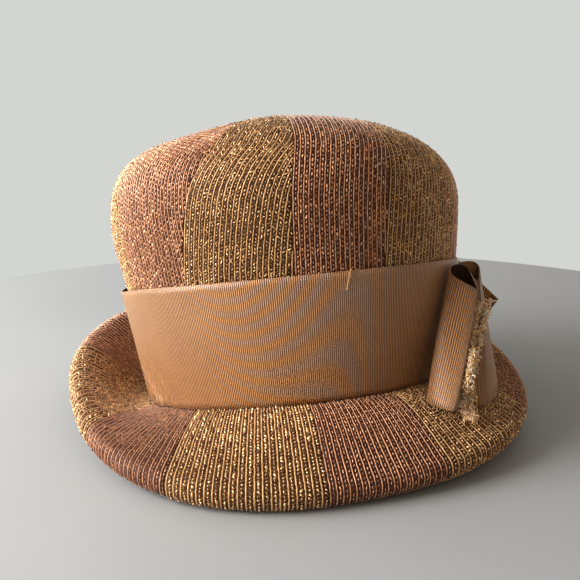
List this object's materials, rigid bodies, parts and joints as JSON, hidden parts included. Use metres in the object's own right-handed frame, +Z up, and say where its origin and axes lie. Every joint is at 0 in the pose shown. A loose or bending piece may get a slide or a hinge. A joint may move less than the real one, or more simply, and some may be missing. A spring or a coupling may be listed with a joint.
{
  "type": "cloche hat",
  "caption": "Cloche hat of knitted metallic straw in gold and copper gores, with a rolled brim, a wide grosgrain ribbon band and an upright ribbon bow with frayed ends on one side.",
  "frame": {"origin": "on the plane the hat rests on, under the middle of the head opening", "axes": "+Z up out of the crown, -Y to the front of the hat, +X to the side with the bow"},
  "size_m": [0.2673, 0.2779, 0.174],
  "materials": {
    "gold_straw": "knitted metallic gold straw with cream wales",
    "copper_straw": "knitted metallic copper straw, satin",
    "peach_ribbon": "ribbed grosgrain ribbon, soft sheen",
    "frayed_ribbon": "frayed curled metallic threads"
  },
  "bodies": {
    "root": {"crown_panel_01": "gold_straw", "crown_panel_02": "copper_straw", "crown_panel_03": "gold_straw", "crown_panel_04": "copper_straw", "crown_panel_05": "gold_straw", "crown_panel_06": "copper_straw", "crown_panel_07": "gold_straw", "crown_panel_08": "copper_straw", "crown_panel_09": "gold_straw", "crown_panel_10": "copper_straw", "crown_panel_11": "gold_straw", "crown_panel_12": "copper_straw", "brim_panel_01": "gold_straw", "brim_panel_02": "copper_straw", "brim_panel_03": "gold_straw", "brim_panel_04": "copper_straw", "brim_panel_05": "gold_straw", "brim_panel_06": "copper_straw", "brim_panel_07": "gold_straw", "brim_panel_08": "copper_straw", "brim_panel_09": "gold_straw", "brim_panel_10": "copper_straw", "brim_panel_11": "gold_straw", "brim_panel_12": "copper_straw", "tip_knot": "gold_straw", "hat_band": "peach_ribbon", "bow_front_loop": "peach_ribbon", "bow_back_loop": "peach_ribbon", "bow_tail_loop": "peach_ribbon", "frayed_end_long": "frayed_ribbon", "frayed_end_short": "frayed_ribbon"}
  },
  "joints": []
}
